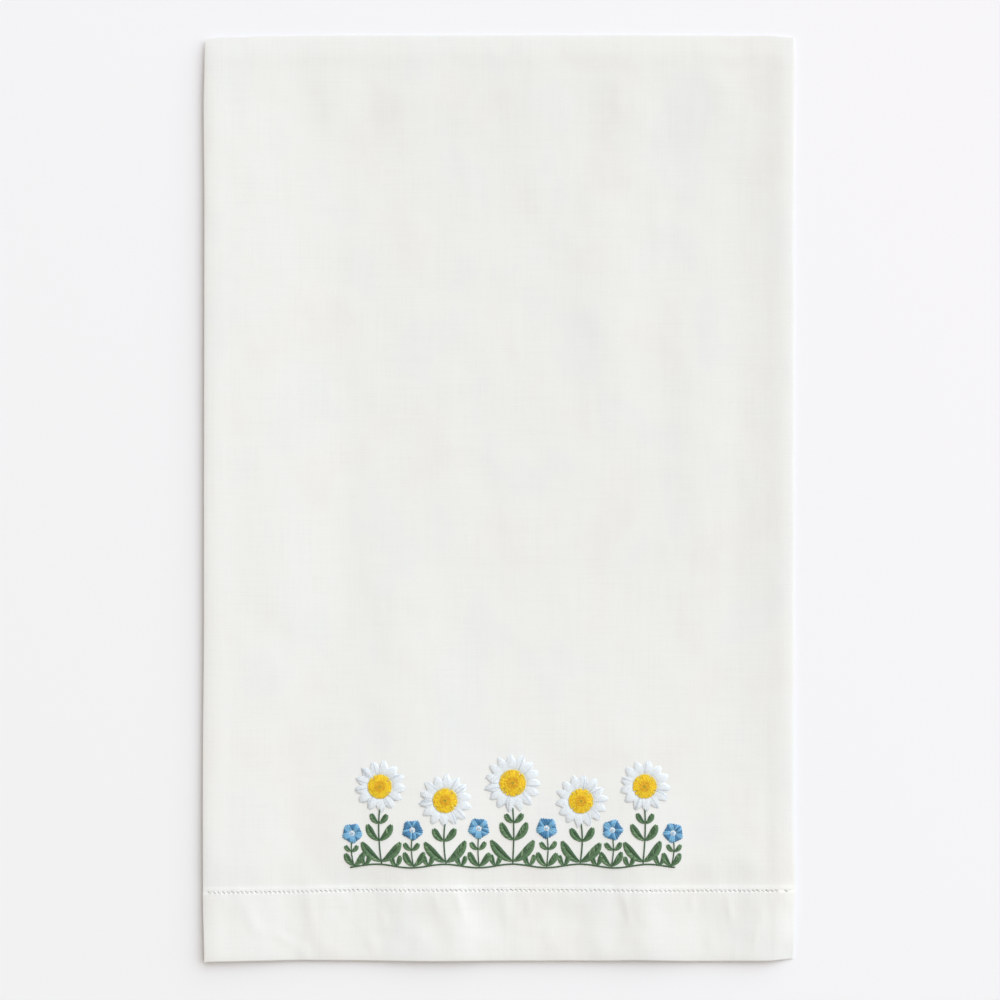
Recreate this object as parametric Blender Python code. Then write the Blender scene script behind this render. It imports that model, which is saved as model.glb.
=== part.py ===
"""A linen hand towel that lies flat, face up, on a surface.

It is one sheet of cloth with narrow hems down both sides and along the top, and a deep hem at the
foot that is held by a row of hemstitching. The edges stand a little off the surface, the left side and
the foot most. Low folds run down from the top hem, the deep hem is puckered, and the cloth climbs a
little to either side of the hemstitching.

Units are metres. X runs across the towel, Y from the deep hem up to the top, Z up from the surface.
The origin is the middle of the underside.
"""

import math
from collections import namedtuple

import bmesh
import bpy

# Size of the towel as it lies, 14 by 22 inches
WIDTH = 0.3570
LENGTH = 0.5588

# The cloth and its hems
CLOTH_THICK = 0.0010
SIDE_HEM_WIDTH = 0.0066
SIDE_HEM_THICK = 0.00125
TOP_HEM_WIDTH = 0.0085
TOP_HEM_THICK = 0.00125
DEEP_HEM_WIDTH = 0.0428
DEEP_HEM_THICK = 0.0013
HEM_EASE = 0.0120

# Each edge is rounded over its own distance, and the very rim keeps this share of the thickness
SIDE_ROUND = 0.0070
TOP_ROUND = 0.0080
FOOT_ROUND = 0.0007
RIM_SHARE = 0.20

# How far inwards the lift of each edge reaches
LEFT_LIFT_REACH = 0.090
RIGHT_LIFT_REACH = 0.040
TOP_LIFT_REACH = 0.075
FOOT_LIFT_REACH = 0.190
FOOT_CURL_REACH = 0.034

# Look of the cloth
LINEN_COLOUR = (0.86, 0.86, 0.83, 1.0)
LINEN_ROUGHNESS = 0.85

# A value at a place. An edge's places are shares of its length, from the foot or from the left
Station = namedtuple("Station", "at value")

# How far each edge lies outside the plain rectangle
LEFT_OUT = [
    Station(at=0.000, value=-0.0009),
    Station(at=0.065, value=-0.0001),
    Station(at=0.173, value=0.0001),
    Station(at=0.390, value=-0.0006),
    Station(at=0.820, value=-0.0009),
    Station(at=0.930, value=-0.0004),
    Station(at=0.974, value=-0.0009),
    Station(at=1.000, value=-0.0015),
]
RIGHT_OUT = [
    Station(at=0.000, value=-0.0003),
    Station(at=0.065, value=0.0005),
    Station(at=0.173, value=-0.0003),
    Station(at=0.820, value=-0.0002),
    Station(at=0.974, value=0.0004),
    Station(at=1.000, value=-0.0005),
]
FOOT_OUT = [
    Station(at=0.000, value=0.0008),
    Station(at=0.096, value=0.0002),
    Station(at=0.164, value=-0.0001),
    Station(at=0.394, value=0.0004),
    Station(at=0.672, value=0.0002),
    Station(at=0.733, value=-0.0002),
    Station(at=0.824, value=0.0005),
    Station(at=0.955, value=0.0004),
    Station(at=0.985, value=-0.0003),
    Station(at=1.000, value=-0.0007),
]
TOP_OUT = [
    Station(at=0.000, value=-0.0026),
    Station(at=0.028, value=-0.0014),
    Station(at=0.113, value=-0.0005),
    Station(at=0.250, value=0.0001),
    Station(at=0.670, value=0.0002),
    Station(at=0.960, value=-0.0002),
    Station(at=1.000, value=-0.0014),
]

# How far the row of hemstitching lies above its plain height, read across the towel
HEM_LINE_UP = [
    Station(at=0.00, value=-0.0013),
    Station(at=0.14, value=-0.0011),
    Station(at=0.26, value=-0.0001),
    Station(at=0.60, value=0.0000),
    Station(at=0.80, value=-0.0003),
    Station(at=1.00, value=-0.0002),
]

# How high each edge stands off the surface
LEFT_LIFT = [
    Station(at=0.00, value=0.0024),
    Station(at=0.20, value=0.0022),
    Station(at=0.45, value=0.0029),
    Station(at=0.75, value=0.0031),
    Station(at=1.00, value=0.0027),
]
RIGHT_LIFT = [
    Station(at=0.00, value=0.0005),
    Station(at=0.04, value=0.0009),
    Station(at=0.12, value=0.0013),
    Station(at=0.55, value=0.0011),
    Station(at=0.90, value=0.0012),
    Station(at=1.00, value=0.0009),
]
TOP_LIFT = [
    Station(at=0.00, value=0.0005),
    Station(at=0.20, value=0.0012),
    Station(at=0.50, value=0.0010),
    Station(at=0.80, value=0.0014),
    Station(at=1.00, value=0.0009),
]
FOOT_LIFT = [
    Station(at=0.000, value=0.0020),
    Station(at=0.060, value=0.0022),
    Station(at=0.160, value=0.0012),
    Station(at=0.250, value=0.0015),
    Station(at=0.390, value=0.0031),
    Station(at=0.510, value=0.0016),
    Station(at=0.610, value=0.0017),
    Station(at=0.740, value=0.0031),
    Station(at=0.850, value=0.0020),
    Station(at=0.930, value=0.0022),
    Station(at=0.965, value=0.0017),
    Station(at=1.000, value=0.0006),
]

# How much more the foot curls up near its edge
FOOT_CURL = [
    Station(at=0.00, value=0.0005),
    Station(at=0.35, value=0.0006),
    Station(at=0.58, value=0.0007),
    Station(at=0.72, value=0.0003),
    Station(at=0.90, value=0.0002),
    Station(at=1.00, value=0.0001),
]

# How far the cloth climbs by the hemstitching, read up the towel in metres from the foot, and the share
# of that climb, read across the towel in metres from its middle
HEM_RISE = [
    Station(at=0.0240, value=0.0),
    Station(at=0.0415, value=0.00030),
    Station(at=0.0460, value=0.00012),
    Station(at=0.0610, value=0.00090),
    Station(at=0.1200, value=0.00095),
    Station(at=0.2400, value=0.0),
]
HEM_RISE_SHARE = [
    Station(at=-0.1200, value=0.5),
    Station(at=-0.0800, value=1.0),
    Station(at=0.1500, value=1.0),
    Station(at=0.1785, value=0.9),
]

# Thickness across the row of hemstitching: the hem, the groove of drawn threads, and the ridge above
HEMSTITCH_SECTION = [
    Station(at=-0.0120, value=DEEP_HEM_THICK),
    Station(at=-0.0014, value=0.00140),
    Station(at=-0.0004, value=0.00108),
    Station(at=0.0004, value=0.00104),
    Station(at=0.0011, value=0.00114),
    Station(at=0.0016, value=0.00114),
    Station(at=0.0032, value=CLOTH_THICK),
]

# Low folds: the middle of each, its full length and width, its lean from upright and its height, which
# is below zero where the fold dips
Fold = namedtuple("Fold", "across up long wide lean high")
TOP_FOLDS = [
    Fold(across=-0.098, up=0.520, long=0.096, wide=0.046, lean=4, high=0.0005),
    Fold(across=-0.052, up=0.524, long=0.090, wide=0.050, lean=-5, high=0.0005),
    Fold(across=0.022, up=0.508, long=0.125, wide=0.068, lean=6, high=0.0006),
    Fold(across=0.079, up=0.514, long=0.115, wide=0.052, lean=-4, high=0.0007),
    Fold(across=0.134, up=0.516, long=0.084, wide=0.040, lean=2, high=0.0004),
]
HEM_PUCKERS = [
    Fold(across=-0.109, up=0.024, long=0.072, wide=0.042, lean=0, high=0.0011),
    Fold(across=-0.060, up=0.029, long=0.040, wide=0.028, lean=8, high=0.0005),
    Fold(across=-0.026, up=0.025, long=0.072, wide=0.032, lean=14, high=0.0008),
    Fold(across=0.060, up=0.024, long=0.054, wide=0.028, lean=-6, high=0.0005),
    Fold(across=0.088, up=0.023, long=0.072, wide=0.034, lean=6, high=0.0009),
    Fold(across=0.168, up=0.022, long=0.104, wide=0.062, lean=0, high=0.0011),
    Fold(across=0.183, up=-0.006, long=0.044, wide=0.048, lean=0, high=-0.0022),
]
LONG_SWELLS = [
    Fold(across=-0.126, up=0.242, long=0.250, wide=0.070, lean=-3, high=0.0006),
    Fold(across=-0.056, up=0.190, long=0.230, wide=0.074, lean=4, high=0.0006),
    Fold(across=0.066, up=0.395, long=0.250, wide=0.066, lean=2, high=0.0007),
    Fold(across=0.124, up=0.330, long=0.300, wide=0.060, lean=-2, high=0.0006),
]
FOLDS = TOP_FOLDS + HEM_PUCKERS + LONG_SWELLS

# Where the sheet's grid has its lines: each band ends there and is cut into steps of about this size
Band = namedtuple("Band", "upto step")
SIDE_BANDS = [
    Band(upto=0.0010, step=0.0005),
    Band(upto=0.0026, step=0.0016),
    Band(upto=SIDE_ROUND, step=0.0022),
    Band(upto=SIDE_HEM_WIDTH + HEM_EASE, step=0.0058),
]
MIDDLE_STEP = 0.0103
FOOT_BANDS = [
    Band(upto=FOOT_ROUND, step=0.00035),
    Band(upto=0.0024, step=0.0017),
    Band(upto=DEEP_HEM_WIDTH - 0.0120, step=0.0092),
]
ABOVE_HEM_BANDS = [
    Band(upto=0.061, step=0.0050),
    Band(upto=0.110, step=0.0100),
    Band(upto=0.445, step=0.0210),
    Band(upto=LENGTH - TOP_HEM_WIDTH - HEM_EASE, step=0.0115),
    Band(upto=LENGTH - TOP_ROUND, step=0.0062),
    Band(upto=LENGTH - 0.0026, step=0.0027),
    Band(upto=LENGTH - 0.0010, step=0.0016),
    Band(upto=LENGTH, step=0.0005),
]


def clear_scene():
    for thing in list(bpy.data.objects):
        bpy.data.objects.remove(thing, do_unlink=True)


def read(stations, at):
    """The value at a place between two stations, eased so that nothing has a corner."""
    if at <= stations[0].at:
        return stations[0].value
    for before, after in zip(stations, stations[1:]):
        if at <= after.at:
            share = (at - before.at) / (after.at - before.at)
            eased = share * share * (3 - 2 * share)
            return before.value + (after.value - before.value) * eased
    return stations[-1].value


def swell(share):
    """1 in the middle, falling smoothly to 0 where the share reaches 1 either way."""
    return 0.5 + 0.5 * math.cos(math.pi * share) if abs(share) < 1 else 0.0


def hem_step(distance, width):
    """1 inside a hem of this width, falling to 0 just past it."""
    return swell(max(0.0, distance - width) / HEM_EASE)


def fold_height(fold, across, up):
    """How much one fold raises the cloth at a place."""
    lean = math.radians(fold.lean)
    dx = across - fold.across
    dy = up - fold.up
    sideways = dx * math.cos(lean) + dy * math.sin(lean)
    along = dy * math.cos(lean) - dx * math.sin(lean)
    return fold.high * swell(sideways / (fold.wide / 2)) * swell(along / (fold.long / 2))


def lift(across, up):
    """How high the underside stands off the surface."""
    from_left = across + WIDTH / 2
    share_across = from_left / WIDTH
    share_up = up / LENGTH
    edges = math.hypot(
        read(LEFT_LIFT, share_up) * swell(from_left / LEFT_LIFT_REACH),
        read(RIGHT_LIFT, share_up) * swell((WIDTH - from_left) / RIGHT_LIFT_REACH),
        read(TOP_LIFT, share_across) * swell((LENGTH - up) / TOP_LIFT_REACH),
        read(FOOT_LIFT, share_across) * swell(up / FOOT_LIFT_REACH),
    )
    edges += read(FOOT_CURL, share_across) * swell(up / FOOT_CURL_REACH)
    rise = read(HEM_RISE, up) * read(HEM_RISE_SHARE, across)
    rest = sum(fold_height(fold, across, up) for fold in FOLDS)
    return max(0.0, edges + rise + rest)


def thickness(across, up):
    """The cloth's thickness: one layer, thicker in the hems and thin in the groove of the hemstitching."""
    from_side = WIDTH / 2 - abs(across)
    side = (SIDE_HEM_THICK - CLOTH_THICK) * hem_step(from_side, SIDE_HEM_WIDTH)
    top = (TOP_HEM_THICK - CLOTH_THICK) * hem_step(LENGTH - up, TOP_HEM_WIDTH)
    foot = read(HEMSTITCH_SECTION, up - DEEP_HEM_WIDTH) - CLOTH_THICK
    in_both = min(1.0, foot / (DEEP_HEM_THICK - CLOTH_THICK))
    return CLOTH_THICK + foot + math.hypot(side, top) * (1 - 0.4 * in_both)


def rim(across, up):
    """The share of the thickness that is left near the rounded edges."""
    from_edges = (
        (WIDTH / 2 - abs(across)) / SIDE_ROUND,
        (LENGTH - up) / TOP_ROUND,
        up / FOOT_ROUND,
    )
    share = 1.0
    for from_edge in from_edges:
        share *= math.sqrt(1 - (1 - min(1.0, from_edge)) ** 2)
    return max(RIM_SHARE, share)


def place(across, up):
    """Where a point of the plain rectangle lies once its edges are as uneven as the real ones."""
    share_across = across / WIDTH + 0.5
    share_up = up / LENGTH
    left = -WIDTH / 2 - read(LEFT_OUT, share_up)
    right = WIDTH / 2 + read(RIGHT_OUT, share_up)
    foot = -LENGTH / 2 - read(FOOT_OUT, share_across)
    top = LENGTH / 2 + read(TOP_OUT, share_across)
    line = -LENGTH / 2 + DEEP_HEM_WIDTH + read(HEM_LINE_UP, share_across)
    if up <= DEEP_HEM_WIDTH:
        y = foot + (line - foot) * up / DEEP_HEM_WIDTH
    else:
        y = line + (top - line) * (up - DEEP_HEM_WIDTH) / (LENGTH - DEEP_HEM_WIDTH)
    return left + (right - left) * share_across, y


def grid_lines(bands, start=0.0):
    """Places from the start to the end of the last band."""
    lines = [start]
    for band in bands:
        begin = lines[-1]
        count = max(1, round((band.upto - begin) / band.step))
        lines += [begin + (band.upto - begin) * (i + 1) / count for i in range(count)]
    return lines


def columns():
    """The grid's places across the towel, the same from both sides."""
    half = grid_lines(SIDE_BANDS)
    middle = grid_lines([Band(WIDTH - half[-1], MIDDLE_STEP)], half[-1])
    from_left = half + middle[1:-1] + [WIDTH - line for line in reversed(half)]
    return [line - WIDTH / 2 for line in from_left]


def rows():
    """The grid's places up the towel, closest at the hemstitching."""
    stitching = [DEEP_HEM_WIDTH + station.at for station in HEMSTITCH_SECTION]
    return grid_lines(FOOT_BANDS) + stitching[:-1] + grid_lines(ABOVE_HEM_BANDS, stitching[-1])


def skin(mesh, across_places, up_places, side):
    """One face of the sheet, as rows of vertices: side is 1 for the upper face and 0 for the underside."""
    points = []
    for up in up_places:
        row = []
        for across in across_places:
            x, y = place(across, up)
            full = thickness(across, up)
            middle = lift(across, up) + full / 2
            z = middle + (side - 0.5) * full * rim(across, up)
            row.append(mesh.verts.new((x, y, z)))
        points.append(row)
    for low, high in zip(points, points[1:]):
        for i in range(len(low) - 1):
            corners = [low[i], low[i + 1], high[i + 1], high[i]]
            mesh.faces.new(corners if side else reversed(corners))
    return points


def outer_edges(points):
    """The boundary of a skin, as edges."""
    loop = points[0] + [row[-1] for row in points[1:]] + points[-1][-2::-1]
    loop += [row[0] for row in points[-2:0:-1]]
    pairs = zip(loop, loop[1:] + loop[:1])
    return [next(edge for edge in a.link_edges if b in edge.verts) for a, b in pairs]


def centre(mesh):
    """Sets the origin at the middle of the box, on the surface."""
    xs = [vert.co.x for vert in mesh.verts]
    ys = [vert.co.y for vert in mesh.verts]
    low = min(vert.co.z for vert in mesh.verts)
    shift = (-(min(xs) + max(xs)) / 2, -(min(ys) + max(ys)) / 2, -low)
    bmesh.ops.translate(mesh, vec=shift, verts=mesh.verts)


def linen_material():
    material = bpy.data.materials.new("linen")
    material.use_nodes = True
    surface = material.node_tree.nodes["Principled BSDF"]
    surface.inputs["Base Color"].default_value = LINEN_COLOUR
    surface.inputs["Roughness"].default_value = LINEN_ROUGHNESS
    surface.inputs["Metallic"].default_value = 0.0
    return material


def make_towel():
    """The two faces of the sheet, joined round the rim into one closed body."""
    mesh = bmesh.new()
    upper = skin(mesh, columns(), rows(), side=1)
    lower = skin(mesh, columns(), rows(), side=0)
    bmesh.ops.bridge_loops(mesh, edges=outer_edges(upper) + outer_edges(lower))
    bmesh.ops.recalc_face_normals(mesh, faces=mesh.faces)
    centre(mesh)
    data = bpy.data.meshes.new("towel")
    mesh.to_mesh(data)
    mesh.free()
    data.shade_smooth()
    data.materials.append(linen_material())
    towel = bpy.data.objects.new("towel", data)
    bpy.context.scene.collection.objects.link(towel)
    return towel


clear_scene()
make_towel()
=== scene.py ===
# %% [markdown]
# # A hemstitched linen hand towel
#
# The real towel is one piece of plain-woven linen. Its sides and top are turned in narrow hems and its
# foot in a deep one, held by hemstitching: a few threads are drawn out of the cloth along a line, and
# those that are left are gathered into small bundles. A border of flowers is embroidered above it.
#
# This lesson dresses the plain solid of that towel. It sets the view and the light, makes the cloth as
# one thin closed sheet, and then sews on it with real threads. All lengths are metres, in the solid's
# own frame: X runs across the towel, Y from the foot to the top, and Z up from the surface.

# %% Load the frame
import math
import random
from collections import namedtuple

import bpy
import numpy as np
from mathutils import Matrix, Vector, noise
from mathutils.bvhtree import BVHTree


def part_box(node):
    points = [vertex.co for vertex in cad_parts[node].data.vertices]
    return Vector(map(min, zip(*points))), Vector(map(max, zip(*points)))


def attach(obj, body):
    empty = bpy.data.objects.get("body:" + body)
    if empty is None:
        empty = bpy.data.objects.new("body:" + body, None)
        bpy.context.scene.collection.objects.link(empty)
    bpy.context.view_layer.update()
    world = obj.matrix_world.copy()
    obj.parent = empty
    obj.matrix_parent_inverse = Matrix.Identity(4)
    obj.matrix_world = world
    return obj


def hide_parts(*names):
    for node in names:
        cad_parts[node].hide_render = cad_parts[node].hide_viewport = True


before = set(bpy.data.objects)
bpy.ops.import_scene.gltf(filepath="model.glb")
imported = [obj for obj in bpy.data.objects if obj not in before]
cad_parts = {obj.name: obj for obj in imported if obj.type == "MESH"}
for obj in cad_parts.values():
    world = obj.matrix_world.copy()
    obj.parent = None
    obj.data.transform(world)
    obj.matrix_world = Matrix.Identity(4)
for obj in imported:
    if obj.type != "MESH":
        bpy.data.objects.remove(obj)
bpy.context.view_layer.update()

TOWEL_LOW, TOWEL_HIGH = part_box("towel")
TOWEL_MIDDLE = (TOWEL_LOW + TOWEL_HIGH) / 2
print("the solid measures", [round(side, 4) for side in TOWEL_HIGH - TOWEL_LOW])

# %% [markdown]
# ## The camera
#
# The towel was photographed from straight above, from so far away that its sides look parallel. A
# 100 mm lens at 1.7 m gives that view. The picture is square, and the sensor is 36 mm wide, so the
# camera's height follows from how much of the surface the picture spans.

# %% Camera
MM = 0.001
LENS = 100.0
SENSOR = 36.0
SPAN = 0.6050                      # what the picture's side covers on the surface
AIM = (0.00065, -0.0010)           # the towel lies a little left of the middle of the picture, and high

eye = bpy.data.cameras.new("eye")
eye.lens = LENS
eye.sensor_width = SENSOR
camera = bpy.data.objects.new("eye", eye)
camera.location = (AIM[0], AIM[1], SPAN * LENS / SENSOR)
bpy.context.scene.collection.objects.link(camera)
bpy.context.scene.camera = camera
print("camera height", round(camera.location.z, 3))

# %% [markdown]
# ## Light
#
# Soft daylight comes from the upper right: the towel throws a narrow soft shadow to its left and below
# its foot, and none at its top or right. A sun lamp with a wide angle gives a shadow that softens away
# from the edge, and its light is as strong on one side of the picture as on the other, which a nearby
# lamp's isn't. The daylight is a little cool and the sky that fills the shadows is warm, as in a room
# with cream walls: lit cloth looks neutral, and its shadows warm. The standard view keeps whites white.

# %% Sun and sky
SUN_TURN = math.radians(44)        # from +X towards +Y
SUN_HEIGHT = math.radians(34)
SUN_WIDTH = math.radians(90)
SUN_STRENGTH = 4.06
SUN_COLOUR = (0.823, 0.916, 1.0)
SKY_STRENGTH = 0.388
SKY_COLOUR = (1.0, 0.812, 0.638)


def make_sun():
    lamp = bpy.data.lights.new("daylight", "SUN")
    lamp.energy = SUN_STRENGTH
    lamp.angle = SUN_WIDTH
    lamp.color = SUN_COLOUR
    sun = bpy.data.objects.new("daylight", lamp)
    towards = Vector((
        math.cos(SUN_HEIGHT) * math.cos(SUN_TURN),
        math.cos(SUN_HEIGHT) * math.sin(SUN_TURN),
        math.sin(SUN_HEIGHT),
    ))
    sun.rotation_mode = "QUATERNION"
    sun.rotation_quaternion = towards.to_track_quat("Z", "Y")
    bpy.context.scene.collection.objects.link(sun)


def make_sky():
    world = bpy.data.worlds.new("sky")
    world.use_nodes = True
    background = world.node_tree.nodes["Background"]
    background.inputs["Color"].default_value = (*SKY_COLOUR, 1.0)
    background.inputs["Strength"].default_value = SKY_STRENGTH
    bpy.context.scene.world = world


make_sun()
make_sky()
bpy.context.scene.view_settings.view_transform = "Standard"
print("sun at", round(math.degrees(SUN_HEIGHT)), "degrees, sky", SKY_STRENGTH)

# %% [markdown]
# ## Shader maths as sums
#
# A procedural material is a sum worked out at each point of the surface. Wiring a node for every plus
# sign hides the sum, so `Field` wraps a socket and overloads the operators: `1 - mask` adds a Math
# node. Only numbers go this way. Colours go through Mix nodes, because a Math node turns them grey.

# %% Field
class Field:
    """A number or colour that changes over a surface."""

    def __init__(self, finish, socket):
        self.finish = finish
        self.socket = socket

    def math(self, operation, *others):
        return self.finish.node("ShaderNodeMath", {"operation": operation}, (self, *others))

    def __add__(self, other):
        return self.math("ADD", other)

    def __mul__(self, other):
        return self.math("MULTIPLY", other)

    def __rsub__(self, other):
        return self.finish.node("ShaderNodeMath", {"operation": "SUBTRACT"}, (other, self))

    def __truediv__(self, other):
        return self.math("DIVIDE", other)

    def sine(self):
        return self.math("SINE")

    def size(self):
        return self.math("ABSOLUTE")

    def floor(self):
        return self.math("FLOOR")

    def highest(self, other):
        return self.math("MAXIMUM", other)

    def between(self, low, high):
        """0 below low, 1 above high, and a straight ramp between."""
        settings = {"clamp": True}
        return self.finish.node("ShaderNodeMapRange", settings, (self, low, high, 0.0, 1.0))


print("a field can do", sum(callable(entry) for entry in vars(Field).values()) - 1, "things")

# %% [markdown]
# ## One material
#
# `Finish` holds one material. Its `node` method adds any node from its type, its settings and the
# values or links of its sockets, so that no other line has to know how nodes are wired. The other
# methods are the few moves that card, cloth and thread share. Relief is a bump, because a weave is too
# fine to model.

# %% Finish
CLOTH_SHINE = 0.3                  # cloth mirrors less than most surfaces


class Finish:
    """One material: its shader and the nodes that feed it."""

    def __init__(self, name, roughness, sheen=0.0):
        self.material = bpy.data.materials.new(name)
        self.material.use_nodes = True
        self.tree = self.material.node_tree
        self.shader = self.tree.nodes["Principled BSDF"]
        self.shader.inputs["Roughness"].default_value = roughness
        self.shader.inputs["Sheen Weight"].default_value = sheen
        self.shader.inputs["Specular IOR Level"].default_value = CLOTH_SHINE

    def set(self, socket, value):
        """Links a field to a socket, or sets its value."""
        if isinstance(value, Field):
            self.tree.links.new(value.socket, socket)
        else:
            socket.default_value = value

    def node(self, kind, settings=None, inputs=(), output=0):
        made = self.tree.nodes.new(kind)
        for name, value in (settings or {}).items():
            setattr(made, name, value)
        pairs = inputs.items() if isinstance(inputs, dict) else enumerate(inputs)
        for key, value in pairs:
            self.set(made.inputs[key], value)
        return Field(self, made.outputs[output])

    def blend(self, amount, first, second):
        """A colour that goes from the first to the second as the amount goes from 0 to 1."""
        sockets = {0: amount, 6: first, 7: second}
        return self.node("ShaderNodeMix", {"data_type": "RGBA"}, sockets, output=2)

    def place(self):
        """Where a point lies on the towel, in metres."""
        return self.node("ShaderNodeTexCoord", output="Object")

    def axis(self, place, number):
        """One number of a place: 0 is how far across it lies, and 1 how far up."""
        return self.node("ShaderNodeSeparateXYZ", {}, (place,), output=number)

    def grain(self, place, across, up, detail=2.0):
        """Soft noise from 0 to 1, mostly near a half, with so many grains to the metre each way."""
        settings = {"operation": "MULTIPLY"}
        stretched = self.node("ShaderNodeVectorMath", settings, (place, (across, up, 1.0)))
        sockets = {"Vector": stretched, "Scale": 1.0, "Detail": detail}
        return self.node("ShaderNodeTexNoise", {}, sockets)

    def relief(self, height, depth):
        """Turns a height from 0 to 1 into a bump of that depth in metres."""
        bump = self.node("ShaderNodeBump", {}, {"Distance": depth, "Height": height})
        self.set(self.shader.inputs["Normal"], bump)

    def paint(self, colour):
        self.set(self.shader.inputs["Base Color"], colour)


def linear(red, green, blue):
    """A colour given as it looks on a screen, from 0 to 255, as the light that a shader reckons with."""
    parts = [value / 255 for value in (red, green, blue)]
    bright = [part / 12.92 if part <= 0.04045 else ((part + 0.055) / 1.055) ** 2.4 for part in parts]
    return (*bright, 1.0)


print("cream on a screen is", [round(part, 3) for part in linear(255, 253, 208)[:3]], "as light")

# %% [markdown]
# ## The surface it lies on
#
# A plain pale sheet of card, a touch cooler than the linen. Its colour is painted paler towards the
# upper right: a painted pool of light on the side the sun comes from. It is stage, not part of the
# towel. It lies a hair below the towel's underside, so that the two never share a plane, and it is
# wide, so that a low view doesn't look past its end.

# %% Floor
FLOOR_SIDE = 16.0
FLOOR_DROP = 0.0001
CARD = (0.896, 0.900, 0.912, 1.0)
# the card's colour where the painted pool of light is full
CARD_PAINTED_LIT = (0.940, 0.932, 0.962, 1.0)
PAINTED_LIGHT_FADE = 0.45                   # how far from the middle each colour is full
PAINTED_LIGHT_LEAN = 0.7               # how much the fade runs up the picture, against across it


def make_floor():
    half = FLOOR_SIDE / 2
    mesh = bpy.data.meshes.new("floor")
    corners = [(-half, -half, -FLOOR_DROP), (half, -half, -FLOOR_DROP)]
    corners += [(half, half, -FLOOR_DROP), (-half, half, -FLOOR_DROP)]
    mesh.from_pydata(corners, [], [(0, 1, 2, 3)])
    floor = bpy.data.objects.new("floor", mesh)
    bpy.context.scene.collection.objects.link(floor)
    card = Finish("card", roughness=0.9)
    where = card.place()
    # painted light: the card's colour grows paler towards the upper right, where the sun is
    painted_light_share = card.axis(where, 0) + card.axis(where, 1) * PAINTED_LIGHT_LEAN
    card.paint(card.blend(painted_light_share.between(-PAINTED_LIGHT_FADE, PAINTED_LIGHT_FADE), CARD, CARD_PAINTED_LIT))
    mesh.materials.append(card.material)


make_floor()
print("floor", FLOOR_SIDE, "m across")

# %% [markdown]
# ## The towel's own sizes
#
# A towel that was washed and ironed is never a true rectangle. Its edges wander by half a millimetre,
# its left top corner is pulled down, and its sides and foot stand off the surface in low waves. It
# climbs to either side of the hemstitching, which draws it in, and the turned edge of its foot curls
# up. Short tables say so: each row is a place along an edge and a value there. The same tables shape
# the solid, so the finer sheet lies where the solid does.

# %% Tables of the outline and the lift
WIDTH = 0.3570
LENGTH = 0.5588
Station = namedtuple("Station", "at value")


def table(*rows):
    """Stations from pairs of a share of the edge's length and a value in millimetres."""
    return [Station(at, value * MM) for at, value in rows]


LEFT_OUT = table((0, -0.9), (0.065, -0.1), (0.173, 0.1), (0.39, -0.6), (0.82, -0.9), (0.93, -0.4),
                 (0.974, -0.9), (1, -1.5))
RIGHT_OUT = table((0, -0.3), (0.065, 0.5), (0.173, -0.3), (0.82, -0.2), (0.974, 0.4), (1, -0.5))
FOOT_OUT = table((0, 0.8), (0.096, 0.2), (0.164, -0.1), (0.394, 0.4), (0.672, 0.2), (0.733, -0.2),
                 (0.824, 0.5), (0.955, 0.4), (0.985, -0.3), (1, -0.7))
TOP_OUT = table((0, -2.6), (0.028, -1.4), (0.113, -0.5), (0.25, 0.1), (0.67, 0.2), (0.96, -0.2),
                (1, -1.4))
HEM_LINE_UP = table((0, -1.3), (0.14, -1.1), (0.26, -0.1), (0.6, 0.0), (0.8, -0.3), (1, -0.2))

LEFT_LIFT = table((0, 2.4), (0.2, 2.2), (0.45, 2.9), (0.75, 3.1), (1, 2.7))
RIGHT_LIFT = table((0, 0.5), (0.04, 0.9), (0.12, 1.3), (0.55, 1.1), (0.9, 1.2), (1, 0.9))
TOP_LIFT = table((0, 0.5), (0.2, 1.2), (0.5, 1.0), (0.8, 1.4), (1, 0.9))
FOOT_LIFT = table((0, 2.0), (0.06, 2.2), (0.16, 1.2), (0.25, 1.5), (0.39, 3.1), (0.51, 1.6),
                  (0.61, 1.7), (0.74, 3.1), (0.85, 2.0), (0.93, 2.2), (0.965, 1.7), (1, 0.6))
FOOT_CURL = table((0, 0.5), (0.35, 0.6), (0.58, 0.7), (0.72, 0.3), (0.9, 0.2), (1, 0.1))
LEFT_LIFT_REACH = 0.090
RIGHT_LIFT_REACH = 0.040
TOP_LIFT_REACH = 0.075
FOOT_LIFT_REACH = 0.190
FOOT_CURL_REACH = 0.034

# The cloth climbs to either side of the hemstitching. Places here are metres up and across the towel
HEM_RISE = table((0.024, 0), (0.0415, 0.30), (0.046, 0.12), (0.061, 0.90), (0.120, 0.95), (0.240, 0))
HEM_RISE_SHARE = [Station(-0.120, 0.5), Station(-0.080, 1.0), Station(0.150, 1.0), Station(0.1785, 0.9)]


print("the foot is lifted", max(station.value for station in FOOT_LIFT) / MM, "mm at most")

# %% [markdown]
# ## Between the rows
#
# Straight lines from row to row would leave kinks in the cloth, so `read` eases in and out of each row.
# `swell` is the soft hump that every lift and fold is made of: one wave of a cosine, level at its top
# and at its foot. Both take whole arrays of places at once, which is quick.

# %% Read and swell
def read(stations, at):
    """The value at each place, eased between the stations on either side of it."""
    places = np.array([station.at for station in stations], float)
    values = np.array([station.value for station in stations])
    index = np.clip(np.searchsorted(places, at, side="right") - 1, 0, len(places) - 2)
    share = np.clip((at - places[index]) / (places[index + 1] - places[index]), 0, 1)
    eased = share * share * (3 - 2 * share)
    return values[index] + (values[index + 1] - values[index]) * eased


def swell(share):
    """1 in the middle, falling smoothly to 0 where the share reaches 1 either way."""
    return np.where(np.abs(share) < 1, 0.5 + 0.5 * np.cos(np.pi * share), 0.0)


print("left edge wanders", round(float(np.ptp(read(LEFT_OUT, np.linspace(0, 1, 50)))) / MM, 2), "mm")
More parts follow.
